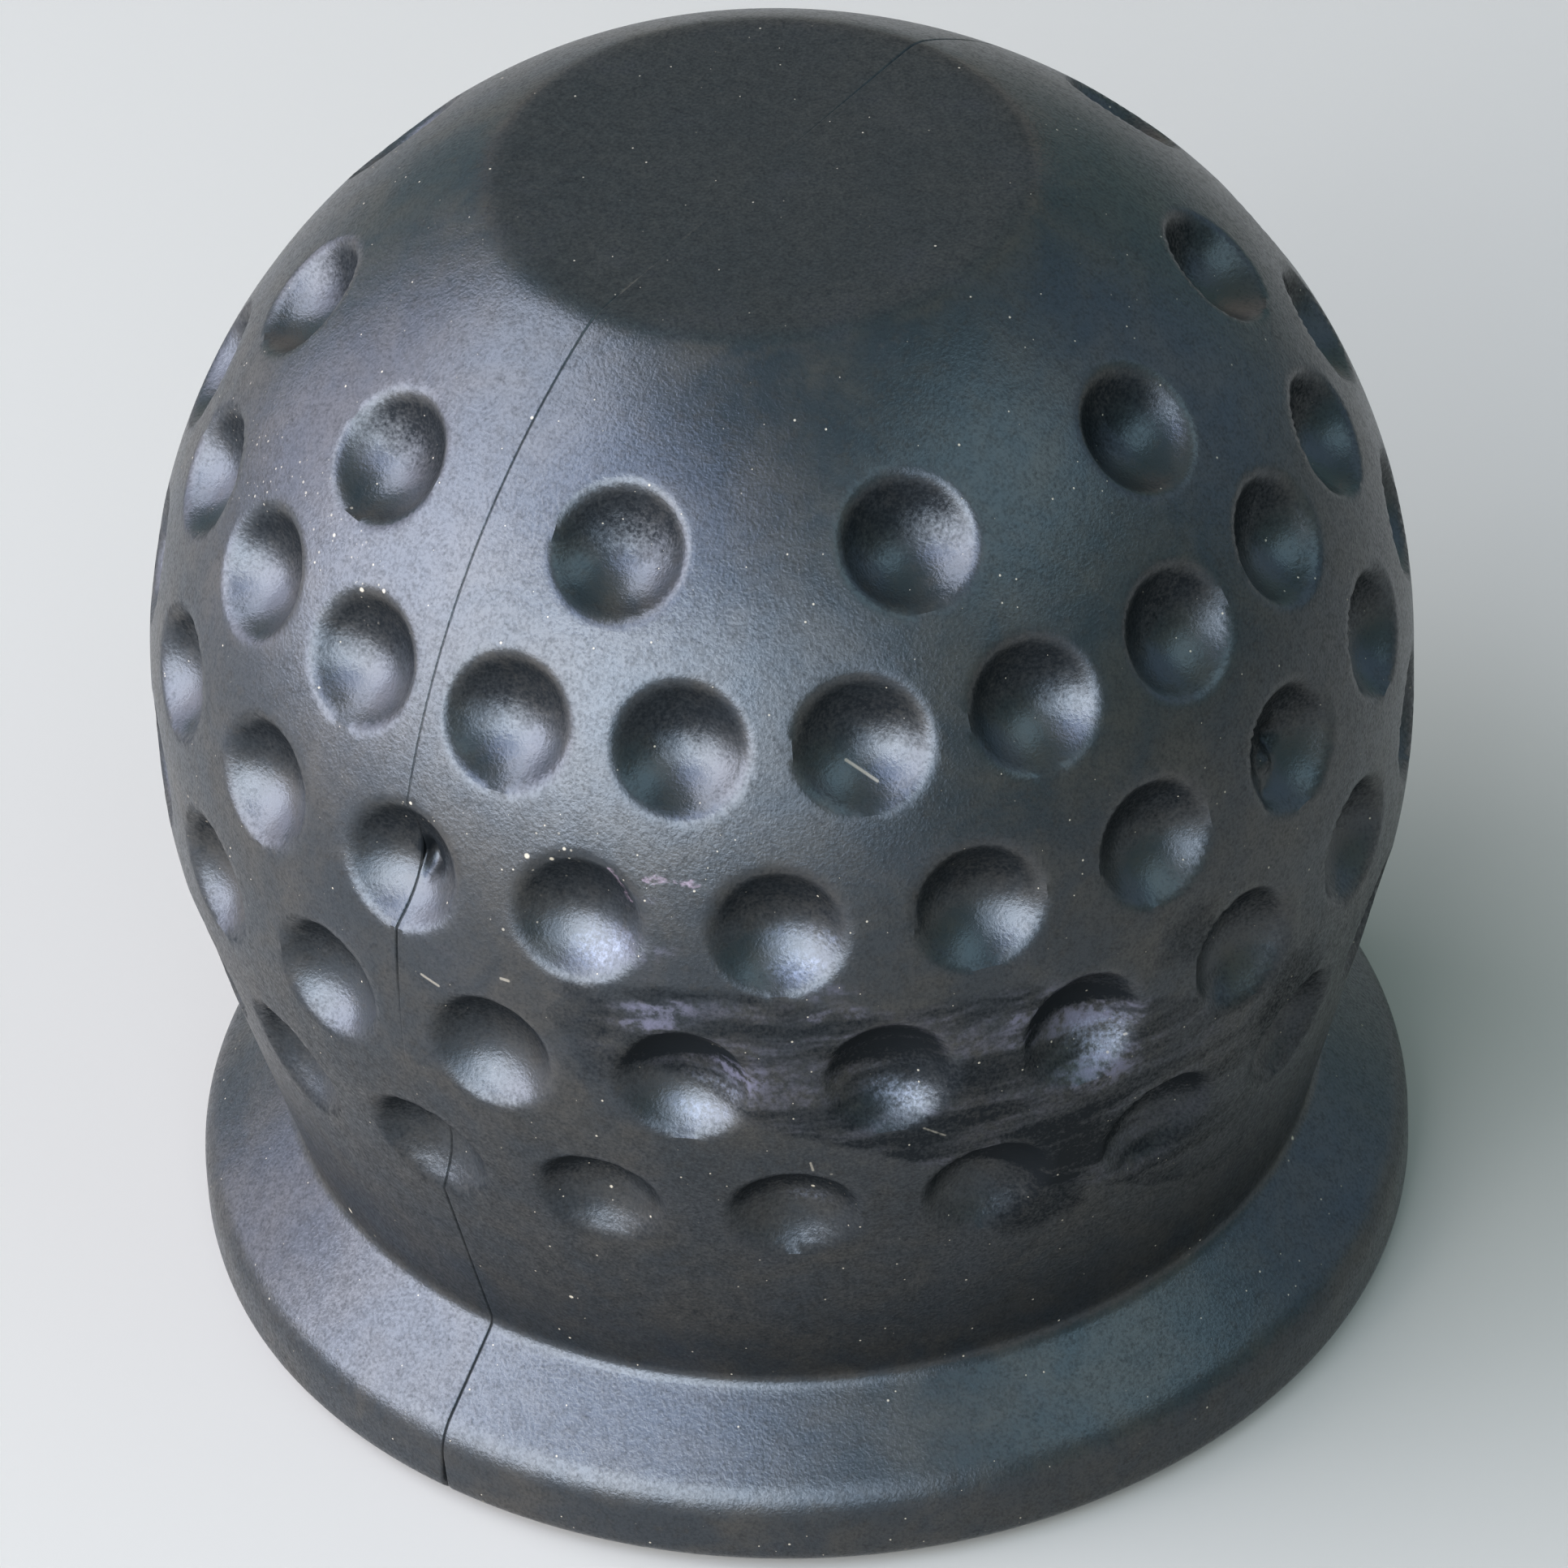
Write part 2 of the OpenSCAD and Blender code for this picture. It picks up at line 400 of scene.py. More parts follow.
# Torn spots on the right half: angle from -Y (deg), height, half width, half height, depth
TORN = (
    (1.1, 45.7, 0.65, 1.05, 0.9),
    (2.3, 45.4, 0.4, 0.5, 0.5),
    (86.8, 47.0, 0.9, 1.0, 0.35),
    (90.6, 45.8, 0.6, 0.7, 0.55),
    (86.4, 43.4, 0.8, 0.5, 0.4),
    (88.7, 44.7, 0.55, 0.5, -0.4),
)


def torn_depth(turn, height):
    """Sum of the torn spots: each is D exp(-q^2), with q = (u/a)^2 + (v/b)^2 across it."""
    ball = BALL_R / MM
    total = 0
    for angle, at, wide, high, deep in TORN:
        across = ball * (turn - radians(angle)) / wide
        total = total + deep * np.exp(-((across**2 + ((height - at) / high) ** 2) ** 2))
    return total


def half_shell(size, name, side):
    """One half shell: outline turned from -Y to +Y about the axis, on one side of x = 0.

    P = (side r sin a, -r cos a, z) - n (dimples + groove + wobble), with (r, z) on the
    outline, n its normal and a from 0 to pi. The groove is g exp(-(x / w)^2). The inner
    wall has a quarter of the rows and columns, and flat fans close the parting faces.
    """
    line = shell_outline(size)
    run = run_length(line)
    tangent = np.gradient(line, axis=0)
    normal = np.stack([-tangent[:, 1], tangent[:, 0]], 1)
    normal /= np.hypot(*normal.T)[:, None]
    rows, inner_rows = INNER_ROWS * FINE + 1, INNER_ROWS + 1
    at = spaced(np.array([*ROW_PLACES, run[-1] - BASE_RING]), np.array(ROW_GAPS), rows)
    r, z = (np.interp(at, run, line[:, k])[:, None] for k in (0, 1))
    n_r, n_z = (np.interp(at, run, normal[:, k])[:, None] for k in (0, 1))
    r[0] = 0
    edge = np.array(COLUMN_PLACES)
    half_turn = pi * BALL_R / MM
    places = np.concatenate([edge, half_turn - edge[::-1]])
    spacing = np.array(COLUMN_GAPS)
    columns, inner_columns = INNER_COLUMNS * FINE + 1, INNER_COLUMNS + 1
    turn = spaced(places, np.concatenate([spacing, spacing[::-1]]), columns)[None, :]
    turn = turn / (BALL_R / MM)
    chance = [np.random.default_rng(CHANCE_SEED + row).normal(size=(size.dimples_round, 3))
              for row in range(DIMPLE_ROWS)]
    flat = np.stack(np.broadcast_arrays(side * r * np.sin(turn), -r * np.cos(turn), z), 2)
    away = r * np.sin(turn)
    front = np.interp(at, GROOVE_STATIONS, GROOVE_FRONT)[:, None]
    back = np.interp(at, GROOVE_STATIONS, GROOVE_BACK)[:, None]
    groove = np.where(np.cos(turn) > 0, front, back)
    breadth = size.groove_width / MM * (0.6 + 0.5 * groove)
    groove = groove * size.groove_depth / MM * np.exp(-((away / breadth) ** 2))
    if side > 0:
        groove = groove + torn_depth(turn, z)
    cup, near_rim, rise = dimple_depth(size, turn, r, z, side, chance)
    depth = cup + groove + wobble(flat) + SINK
    depth = depth * np.interp(at, MEETS_BASE, [1, 0])[:, None]
    outer = flat - depth[..., None] * np.stack(
        np.broadcast_arrays(side * n_r * np.sin(turn), -n_r * np.cos(turn), n_z), 2
    )
    outer[:, 0, 0] = 0
    outer[:, -1, 0] = 0
    inside = shell_inside(size, inner_rows)
    turn_in = turn[0, ::FINE]
    inner = np.stack(
        [
            side * inside[:, :1] * np.sin(turn_in),
            -inside[:, :1] * np.cos(turn_in),
            inside[:, 1:] * np.ones_like(turn_in),
        ],
        2,
    )
    inner[:, 0, 0] = 0
    inner[:, -1, 0] = 0
    points = np.concatenate([outer[0, :1], outer[1:].reshape(-1, 3),
                             inner[0, :1], inner[1:].reshape(-1, 3)])
    points[:, 2] = np.maximum(points[:, 2], 0)
    o = np.zeros((rows, columns), int)
    o[1:] = 1 + np.arange((rows - 1) * columns).reshape(rows - 1, columns)
    first = 1 + (rows - 1) * columns
    i = np.full((inner_rows, inner_columns), first)
    i[1:] = first + 1 + np.arange((inner_rows - 1) * inner_columns).reshape(-1, inner_columns)
    faces = wall_faces(o) + [f[:, ::-1] for f in wall_faces(i)]
    faces += [fan_faces(o[:, 0], i[:, 0]), fan_faces(o[:, -1], i[:, -1])[:, ::-1]]
    faces += [fan_faces(o[-1], i[-1])]
    piece = add_mesh(name, points, outward(points, faces), 42)
    marks = {"cup": cup / (size.dimple_depth / MM), "rim": near_rim, "rise": rise}
    for label, grid in marks.items():
        values = np.zeros(len(points), np.float32)
        values[1:first] = grid[1:].ravel()
        piece.data.attributes.new(label, "FLOAT", "POINT").data.foreach_set("value", values)
    return piece


def wall_faces(grid):
    """Quads of a grid of point numbers whose first row is one pole."""
    pole = np.stack([grid[0, :-1], grid[1, :-1], grid[1, 1:]], 1)
    quads = np.stack([grid[1:-1, :-1], grid[2:, :-1], grid[2:, 1:], grid[1:-1, 1:]], 2)
    return [pole, quads.reshape(-1, 4)]


def fan_faces(fine, coarse):
    """Flat faces between a coarse edge and a fine edge with FINE times its segments."""
    k = np.arange(len(coarse) - 1)
    return np.stack(
        [coarse[k], coarse[k + 1]] + [fine[FINE * (k + 1) - m] for m in range(FINE + 1)], 1
    )


# ---------------------------------------------------------------------------
# Socket liner


def rounded(corners, reach, arc_points=5):
    """The polyline with every inner corner turned into a parabola of the given reach."""
    out = [corners[:1]]
    t = np.linspace(0, 1, arc_points)[:, None]
    for before, corner, after in zip(corners, corners[1:], corners[2:]):
        start = corner + (before - corner) / np.hypot(*(before - corner)) * reach
        end = corner + (after - corner) / np.hypot(*(after - corner)) * reach
        out.append((1 - t) ** 2 * start + 2 * t * (1 - t) * corner + t**2 * end)
    return np.concatenate(out + [corners[-1:]])


BALL_POINTS = 56  # points of each of the liner's two long arcs
LOBE_COLUMNS, SLIT_COLUMNS = 25, 5


def liner_outlines(size, collar):
    """Two closed half outlines of the liner with equal counts: through a lobe and a slit.

    Both run from the crown's outside down the ball and collar, across the lower edge and
    up the socket. The lobe takes the lead-in cone and the land, the slit its own back
    wall and roof. Also gives which points the two outlines share.
    """
    play, reach = size.play / MM, size.edge_round / MM
    socket, mouth = size.socket_r / MM, size.mouth_r / MM
    lead = (collar - size.lead_edge) / MM
    collar, belt_z = collar / MM - play, BELT_Z / MM
    outer = LINER_R / MM - play
    base = LINER_BASE / MM + play
    mouth_z = belt_z - sqrt(socket**2 - mouth**2)
    land_z = mouth_z - size.mouth_land / MM
    roof = mouth_z + size.slit_run / MM
    roof_r = sqrt(socket**2 - (belt_z - roof) ** 2)
    ball = arc((0, belt_z), outer, 90, -np.degrees(np.arccos(collar / outer)), BALL_POINTS)
    cup = arc((0, belt_z), socket, -np.degrees(np.arccos(roof_r / socket)), 90, BALL_POINTS)
    cup[-1, 0] = ball[0, 0] = 0
    low = arc((0, belt_z), socket, -np.degrees(np.arccos(mouth / socket)),
              -np.degrees(np.arccos(roof_r / socket)), 6)
    foot = [ball[-1], (collar, base), (lead, base)]
    lobe = rounded(np.array(foot + [(mouth, land_z), (mouth, mouth_z), tuple(low[1])]), reach)
    lobe = np.concatenate([ball[:-1], lobe[:-1], low[1:-1], cup])
    slit = rounded(np.array(foot + [(lead, roof), (roof_r + 1.2, roof), (roof_r, roof)]), reach)
    over = np.linspace((roof_r + 0.6, roof), (roof_r, roof), 6)
    slit = np.concatenate([ball[:-1], slit[:-1], over[1:-1], cup])
    return lobe, slit, np.hypot(*(lobe - slit).T) < 1e-6


def socket_liner(size, collar, name):
    """The soft cup: its outline turned about the axis, with slits through its lip.

    P = (r sin a, -r cos a, z). A lobe's columns spread between its slits' side walls, at
    asin(w / 2r) from each slit's middle, and a slit's columns spread between them too.
    """
    lobe, slit, shared = liner_outlines(size, collar)
    sector = 2 * pi / size.slits
    spread = [np.linspace(0, 1, LOBE_COLUMNS), np.linspace(0, 1, SLIT_COLUMNS)]
    columns, numbers, count, rows = [], [], 0, len(lobe)
    for k in range(size.slits):
        for kind, line in enumerate((lobe, slit)):
            half = np.arcsin(size.slit_width / MM / 2 / np.maximum(line[:, 0], size.mouth_r / MM))
            span = sector - 2 * half if kind == 0 else 2 * half
            start = (k - 0.5) * sector + half if kind == 0 else (k + 0.5) * sector - half
            turn = start[:, None] + span[:, None] * spread[kind]
            r, z = line[:, :1], line[:, 1:]
            grid = np.stack([r * np.sin(turn), -r * np.cos(turn), z * np.ones_like(turn)], 2)
            number = count + np.arange(grid[..., 0].size).reshape(rows, -1)
            count += number.size
            columns.append(grid)
            numbers.append(number)
    points = np.concatenate([grid.reshape(-1, 3) for grid in columns])
    for before, after in zip(numbers, numbers[1:] + numbers[:1]):
        after[shared, 0] = before[shared, -1]
    number = np.concatenate(numbers + [numbers[0][:, :1]], 1)
    number[0], number[-1] = number[0, 0], number[-1, 0]
    used, place = np.unique(number, return_inverse=True)
    number = place.reshape(number.shape)
    quads = np.stack([number[:-1, :-1], number[1:, :-1], number[1:, 1:], number[:-1, 1:]], 2)
    quads = quads.reshape(-1, 4)
    top, low = quads[:, 0] == quads[:, 3], quads[:, 1] == quads[:, 2]
    faces = [quads[~top & ~low], quads[top & ~low][:, :3], quads[~top & low][:, [0, 1, 3]]]
    points = points[used]
    return add_mesh(name, points, outward(points, faces), 38)


# ---------------------------------------------------------------------------
# Finishes


class Value:
    """A shader number. Arithmetic on it adds Math nodes to its tree."""

    def __init__(self, finish, socket):
        self.finish, self.socket = finish, socket

    def math(self, operation, *others, swap=False):
        terms = [self, *others]
        if swap:
            terms.reverse()
        return self.finish.node("ShaderNodeMath", {"operation": operation}, dict(enumerate(terms)))

    def __add__(self, other):
        return self.math("ADD", other)

    __radd__ = __add__

    def __mul__(self, other):
        return self.math("MULTIPLY", other)

    __rmul__ = __mul__

    def __sub__(self, other):
        return self.math("SUBTRACT", other)

    def __rsub__(self, other):
        return self.math("SUBTRACT", other, swap=True)

    def __truediv__(self, other):
        return self.math("DIVIDE", other)

    def __rtruediv__(self, other):
        return self.math("DIVIDE", other, swap=True)

    def over(self, low, high):
        """0 below low, 1 above high, smooth between."""
        return self.finish.node(
            "ShaderNodeMapRange", {"interpolation_type": "SMOOTHSTEP"},
            {"Value": self, "From Min": low, "From Max": high},
        )

    def under(self, low, high):
        """1 below low, 0 above high, smooth between."""
        return 1 - self.over(low, high)

    def clamped(self):
        """The number kept between 0 and 1."""
        return self.finish.node("ShaderNodeClamp", None, {0: self})


class Finish:
    """A node material on one Principled shader, written as expressions."""

    def __init__(self, name):
        self.material = bpy.data.materials.new(name)
        self.material.use_nodes = True
        self.tree = self.material.node_tree
        self.tree.nodes.clear()
        self.shader = self.tree.nodes.new("ShaderNodeBsdfPrincipled")
        output = self.tree.nodes.new("ShaderNodeOutputMaterial")
        self.tree.links.new(self.shader.outputs[0], output.inputs["Surface"])

    def node(self, kind, settings=None, inputs=None, output=0):
        """Add a node: its settings first, then its sockets' values or links."""
        made = self.tree.nodes.new(kind)
        for key, value in (settings or {}).items():
            setattr(made, key, value)
        for key, value in (inputs or {}).items():
            self.feed(made.inputs[key], value)
        return Value(self, made.outputs[output])

    def feed(self, socket, value):
        if isinstance(value, Value):
            self.tree.links.new(value.socket, socket)
        else:
            socket.default_value = value

    def position(self):
        """Object coordinates in millimetres."""
        place = self.node("ShaderNodeTexCoord", output="Object")
        return self.vector("SCALE", place, {"Scale": 1 / MM})

    def vector(self, operation, first, inputs):
        return self.node("ShaderNodeVectorMath", {"operation": operation}, {0: first, **inputs})

    def attribute(self, label):
        """A number that the mesh carries at its points."""
        return self.node("ShaderNodeAttribute", {"attribute_name": label}, output="Fac")

    def distance(self, place, point):
        """Distance in millimetres from a point to a place."""
        return self.node(
            "ShaderNodeVectorMath", {"operation": "DISTANCE"}, {0: place, 1: point},
            output="Value",
        )

    def spots(self, place, spots):
        """Soft round spots: (point, radius) each."""
        total = 0.0
        for point, radius in spots:
            total = total + self.distance(place, point).under(radius * 0.5, radius * 1.1)
        return total.clamped()

    def stroke(self, place, start, end, radius):
        """A straight mark between two points: t = (p - a).(b - a) / |b - a|^2, kept in 0..1."""
        start, end = Vector(start), Vector(end)
        run = end - start
        local = self.vector("SUBTRACT", place, {1: start})
        along = self.node(
            "ShaderNodeVectorMath", {"operation": "DOT_PRODUCT"},
            {0: local, 1: run / run.length_squared}, output="Value",
        ).clamped()
        nearest = self.vector("SCALE", run, {"Scale": along})
        return self.distance(local, nearest).under(radius * 0.4, radius * 1.2)

    def axes(self, place):
        split = self.node("ShaderNodeSeparateXYZ", None, {0: place})
        outputs = split.socket.node.outputs
        return [Value(self, outputs[k]) for k in range(3)]

    def joined(self, x, y, z):
        return self.node("ShaderNodeCombineXYZ", None, {0: x, 1: y, 2: z})

    def noise(self, place, size, detail=2.0, rough=0.5, warp=0.0):
        """Noise of about the given feature size in millimetres, from 0 to 1."""
        return self.node(
            "ShaderNodeTexNoise", None,
            {"Vector": place, "Scale": 1 / size, "Detail": detail, "Roughness": rough,
             "Distortion": warp},
        )

    def mix(self, mask, low, high):
        """The colour low where the mask is 0, and high where it is 1."""
        rgb = [c if isinstance(c, Value) else (*c, 1.0) for c in (low, high)]
        return self.node(
            "ShaderNodeMix", {"data_type": "RGBA"}, {0: mask, 6: rgb[0], 7: rgb[1]}, output=2
        )

    def specks(self, place, cell, size, share):
        """Round specks: one to a cell of the given size, in a share of the cells."""
        settings = {"feature": "F1"}
        found = self.node("ShaderNodeTexVoronoi", settings, {"Vector": place, "Scale": 1 / cell})
        outputs = found.socket.node.outputs
        chance = self.axes(Value(self, outputs["Color"]))
        radius = size / cell * (0.4 + chance[1] * chance[1])
        spot = (found / radius).under(0.7, 1.1)
        return spot * chance[0].over(1 - share, 1 - share + 0.001)

    def swayed(self, place, seed, size, reach):
        """The place moved about by noise of a feature size, by up to about a reach."""
        noise = self.node("ShaderNodeTexNoise", None, {"Vector": seed, "Scale": 1 / size}, "Color")
        shift = self.vector("SUBTRACT", noise, {1: (0.5, 0.5, 0.5)})
        return self.vector("MULTIPLY_ADD", shift, {1: (reach * 2,) * 3, 2: place})

    def bump(self, height, strength, distance):
        inputs = {"Height": height, "Strength": strength, "Distance": distance}
        return self.node("ShaderNodeBump", None, inputs)

    def set(self, **values):
        for key, value in values.items():
            self.feed(self.shader.inputs[key.replace("_", " ")], value)

    def dulled(self, mask, colour):
        """Cover the shader with a dull dark film where the mask is 1."""
        film = self.node(
            "ShaderNodeBsdfPrincipled", None,
            {"Base Color": (*colour, 1.0), "Roughness": 0.7, "Specular IOR Level": 0.06},
        )
        surface = self.tree.nodes["Material Output"].inputs["Surface"]
        both = self.node(
            "ShaderNodeMixShader", None,
            {0: mask, 1: Value(self, self.shader.outputs[0]), 2: film},
        )
        self.feed(surface, both)


# Marks on the shells, in millimetres. Marks on the ball are compared by direction from
# its centre, so that they also fall into the dimples.
GRIT_HEAPS = (
    ((-16.4, -23.3, 58.3), 3.2), ((-19.7, -20.5, 58.4), 2.8), ((-12.6, -24.3, 59.8), 2.2),
    ((-9.1, -26.5, 59.0), 2.6), ((-6.2, -28.0, 57.8), 2.4), ((-22.0, -19.0, 57.4), 2.2),
    ((8.6, -32.1, 48.9), 2.0), ((0.4, -33.1, 49.3), 1.6), ((7.0, -33.6, 44.9), 1.8),
    ((20.9, -27.2, 27.6), 2.2), ((31.8, -14.5, 33.5), 2.2), ((-17.8, -30.1, 38.5), 2.2),
)
BALL_SPECKS = (
    ((-0.13, -34.33, 28.02), 0.10), ((10.21, -31.7, 24.13), 0.11), ((7.45, -32.5, 48.63), 0.17),
    ((9.37, -31.72, 49.45), 0.11), ((8.73, -32.15, 48.69), 0.13), ((0.24, -33.09, 49.37), 0.11),
    ((20.69, -26.56, 25.48), 0.13), ((3.28, -28.29, 58.31), 0.08), ((-6.15, -28.21, 57.76), 0.13),
    ((-4.6, -28.14, 58.28), 0.13), ((-9.12, -26.47, 58.99), 0.11), ((-0.16, -20.25, 66.53), 0.10),
)
FOOT_SPECKS = (
    ((-11.56, -27.27, 10.38), 0.22), ((6.43, -30.21, 15.13), 0.15), ((5.3, -29.24, 10.73), 0.10),
    ((13.79, -31.59, 2.09), 0.10), ((2.5, -34.35, 1.03), 0.10), ((28.51, 7.63, 9.36), 0.15),
    ((-8.2, -30.63, 18.17), 0.10), ((-19.49, 2.91, 66.92), 0.11), ((13.7, -31.9, 3.3), 0.08),
)
PALE_STROKES = (
    ((19.97, -27.93, 28.02), (21.04, -27.06, 27.78), 0.10),
    ((21.23, -27.4, 29.98), (21.26, -27.25, 29.36), 0.08),
    ((16.67, -30.77, 38.28), (17.63, -30.22, 38.0), 0.11),
    ((25.86, -23.37, 31.71), (26.55, -22.45, 30.85), 0.08),
    ((1.62, -34.93, 39.47), (2.68, -34.87, 39.13), 0.10),
    ((6.51, -34.25, 40.98), (6.93, -34.17, 40.96), 0.11),
    ((21.37, -22.52, 54.13), (22.86, -21.85, 52.97), 0.1),
)
FOOT_STROKES = (
    ((12.97, -29.52, 6.53), (13.34, -29.84, 6.06), 0.07),
    ((-14.02, -31.18, 4.44), (-13.8, -31.3, 4.1), 0.08),
)
PINK_STROKES = (
    ((11.96, -31.16, 48.52), (12.97, -31.23, 46.99), 0.16),
    ((13.69, -30.44, 48.48), (16.25, -29.21, 48.34), 0.21),
)
# Dimples whose lower halves get bright grit and a painted highlight, point and radius each.
SCUFFED_AND_LIT_CUPS = (
    ((11.9, -32.1, 44.0), 2.6), ((21.6, -26.9, 44.0), 3.0), ((16.8, -30.6, 34.3), 2.6),
    ((25.4, -24.0, 34.8), 2.6), ((31.9, -14.2, 34.0), 2.6), ((20.6, -27.0, 25.8), 2.0),
)
VIOLET_SMEARS = (
    ((14.6, -31.8, 40.6), 2.6), ((22.6, -26.8, 40.5), 2.2), ((31.8, -14.4, 34.0), 3.6),
    ((18.5, -29.7, 36.6), 1.8), ((13.6, -31.0, 45.4), 2.4), ((30.0, -18.0, 37.5), 2.6),
)
# Darker, duller patches on the ball: point and radius each.
DARK_PATCHES = (((11.2, -33.1, 39.9), 2.3), ((11.7, -32.9, 36.4), 1.9), ((32.6, -9.0, 38.6), 2.6),
              ((34.2, -1.5, 29.5), 3.6), ((28.4, -16.6, 22.6), 3.2), ((34.2, -1.0, 45.6), 1.8))
PIT = ((0.8, -32.3, 45.6), 1.35)
# Degrees round from the front line over which the dark rubbed zone begins and ends
ZONE_BEGINS, ZONE_ENDS = (16, 26), (58, 94)


def shell_finish(colours):
    """Satin moulded black rubber: grain, mottle, rubbed film, dark patches, smears, scuffs and
    grit, plus painted shade and painted highlights in and round the dimples and on the lower ball,
    neck and foot.
    """
    f = Finish("shell_rubber")
    place = f.position()
    x, y, z = f.axes(place)
    centre = (0, 0, BELT_Z / MM)
    ray = f.vector("NORMALIZE", f.vector("SUBTRACT", place, {1: centre}), {})
    scale = BALL_R / MM
    spot = f.vector("SCALE", ray, {"Scale": scale})

    def onto(point):
        return tuple((Vector(point) - Vector(centre)).normalized() * scale)

    def marks(table):
        return [(onto(point), radius) for point, radius in table]

    cup, rim, rise = (f.attribute(label) for label in ("cup", "rim", "rise"))
    grain = f.noise(place, 0.2, 2.0, 0.6)
    coarse = f.noise(place, 0.75, 3.0, 0.65)
    mottle = f.noise(place, 4.5, 4.0, 0.6, 0.4)
    patch = f.noise(place, 14.0, 2.0)
    sway = f.noise(place, 3.0, 2.0, 0.5) - 0.5
    turn = x.math("ARCTAN2", 0 - y)
    streak = f.noise(f.joined(turn * 4.0, 0.0, z * 0.6 + sway * 0.5), 1.0, 3.0, 0.5)

    crown = z.over(CROWN_TOP / MM - 0.3, CROWN_TOP / MM - 0.1)
    angle = turn * (180 / pi)
    upper = 42.3 - (angle - 20) * (angle - 20) * 0.0022 + (patch - 0.5) * 6
    lower = 42 - angle * 0.3 + (patch - 0.5) * 6
    zone = (z - upper).under(-0.5, 0.3) * (z - lower).over(-0.3, 0.5)
    zone = zone * angle.over(*ZONE_BEGINS) * angle.under(*ZONE_ENDS)
    film = zone * (0.22 + 0.5 * streak.under(0.36, 0.62))
    dark_patches = f.spots(f.swayed(spot, place, 1.6, 1.5), marks(DARK_PATCHES))

    smear = f.spots(spot, marks(VIOLET_SMEARS))
    smear = (smear * 0.7 + zone * 0.3) * streak.over(0.44, 0.62) * coarse.over(0.36, 0.62)
    grit = f.noise(place, 0.28, 3.0, 0.7)
    # Part real grit, part painted highlight: bright grit kept to the lower halves of these
    # dimples, where their highlights fall; the dull film is also taken off there.
    scuff = f.spots(spot, marks(SCUFFED_AND_LIT_CUPS)) * rise.under(-0.5, 0.1) * cup.over(0.1, 0.5)
    scuff = scuff * grit.over(0.36, 0.74) * streak.over(0.35, 0.6)

    heap = f.spots(spot, marks(GRIT_HEAPS))
    dust = f.specks(place, 0.7, 0.055, 0.45) + heap * f.specks(place, 0.45, 0.07, 0.8) * 0.6
    dust = dust * 0.8 + f.spots(spot, marks(BALL_SPECKS)) + f.spots(place, FOOT_SPECKS)
    for start, end, radius in PALE_STROKES:
        dust = dust + f.stroke(spot, onto(start), onto(end), radius) * 0.4
    for start, end, radius in FOOT_STROKES:
        dust = dust + f.stroke(place, start, end, radius) * 0.4
    dust = dust.clamped()
    pink = 0.0
    for start, end, radius in PINK_STROKES:
        pink = pink + f.stroke(f.swayed(spot, place, 0.6, 0.5), onto(start), onto(end), radius)
    pink = pink * coarse.over(0.3, 0.55)

    seam = x.math("ABSOLUTE").under(0.03, 0.1) * crown * f.noise(place, 2.5).over(0.42, 0.6)
    seam = seam * y.under(-11, -3)
    haze = f.noise(place, 7.0, 4.0, 0.65).over(0.5, 0.72) * coarse.over(0.3, 0.7)

    base = f.mix(mottle.over(0.35, 0.7), tuple(colours.rubber), tuple(colours.rubber_warm))
    base = f.mix(coarse.over(0.5, 0.75) * 0.6, base, tuple(colours.rubber_warm))
    base = f.mix(crown * 0.7, base, tuple(colours.crown))
    # Haze at random, plus a painted highlight: a pale ring round every dimple rim.
    base = f.mix(haze * 0.35 + rim * coarse * 0.1, base, tuple(colours.haze_and_rim_sheen))
    base = f.mix(smear.clamped(), base, tuple(colours.scuff))
    base = f.mix(scuff * 0.8, base, tuple(colours.rubbed))
    base = f.mix(pink.clamped() * 0.5, base, tuple(colours.pink))
    base = f.mix(dust + seam * 0.12, base, tuple(colours.dust))

    rough = 0.26 + grain * 0.1 + (mottle - 0.5) * 0.12 + (patch - 0.5) * 0.05 + crown * 0.1
    rough = rough + smear * 0.2 + dust * 0.4 + rim * 0.04
    bump = f.bump(grain + coarse * 0.6, 0.4, 0.00006)
    f.set(Base_Color=base, Roughness=rough, Normal=bump)

    # Painted shade: a full dull dark film over the torn pit at the parting line.
    pit_shade = f.distance(place, PIT[0]).under(PIT[1] * 0.4, PIT[1])
    # Painted shade: a dull dark film over the upper half of each dimple.
    shade = cup.over(0.02, 0.45) * rise.over(-0.35, 0.55)
    # Painted shade: a dull dark film on the lower ball and neck, weaker below -10 degrees round
    # from the front line.
    low = (z - 31).under(-6, 6) * z.over(9.6, 11) * (0.6 + 0.4 * angle.over(-50, -10))
    # Painted shade: a dull dark film on the foot's left side, fading out between -30 and 10
    # degrees round from the front line.
    foot = z.under(9, 10.5) * angle.under(-30, 10)
    # Painted highlight: the film is taken off the lower half of each dimple, so it shines more.
    lit = cup * rise.under(-0.5, 0.1)
    # Mask of the dull dark film: worn film, dark patches and grain, plus painted shade on dimple
    # tops, lower ball, neck, foot and pit; less film for the painted highlight in dimple bottoms
    # and on smears, scuffs and dust.
    dull = film + dark_patches * 0.4 + (coarse - 0.5) * 0.8 + (grain - 0.5) * 1.3 + 0.12
    dull = dull + shade * 0.72 + crown * 0.28 + low * 0.32 + foot * 0.12 + pit_shade * 1.5
    dull = dull - lit * 0.3 - smear - scuff - dust
    f.dulled(dull.clamped() * 0.95, tuple(0.5 * c for c in colours.rubber))
    return f.material


def liner_finish(colours):
    """Matt softer rubber with fine grain."""
    f = Finish("liner_rubber")
    place = f.position()
    grain = f.noise(place, 0.3, 3.0, 0.6)
    mottle = f.noise(place, 6.0, 3.0)
    deep = tuple(0.7 * c for c in colours.liner)
    f.set(
        Base_Color=f.mix(mottle.over(0.3, 0.7), deep, tuple(colours.liner)),
        Roughness=0.5 + grain * 0.15,
        Normal=f.bump(grain, 0.3, 0.00004),
    )
    return f.material


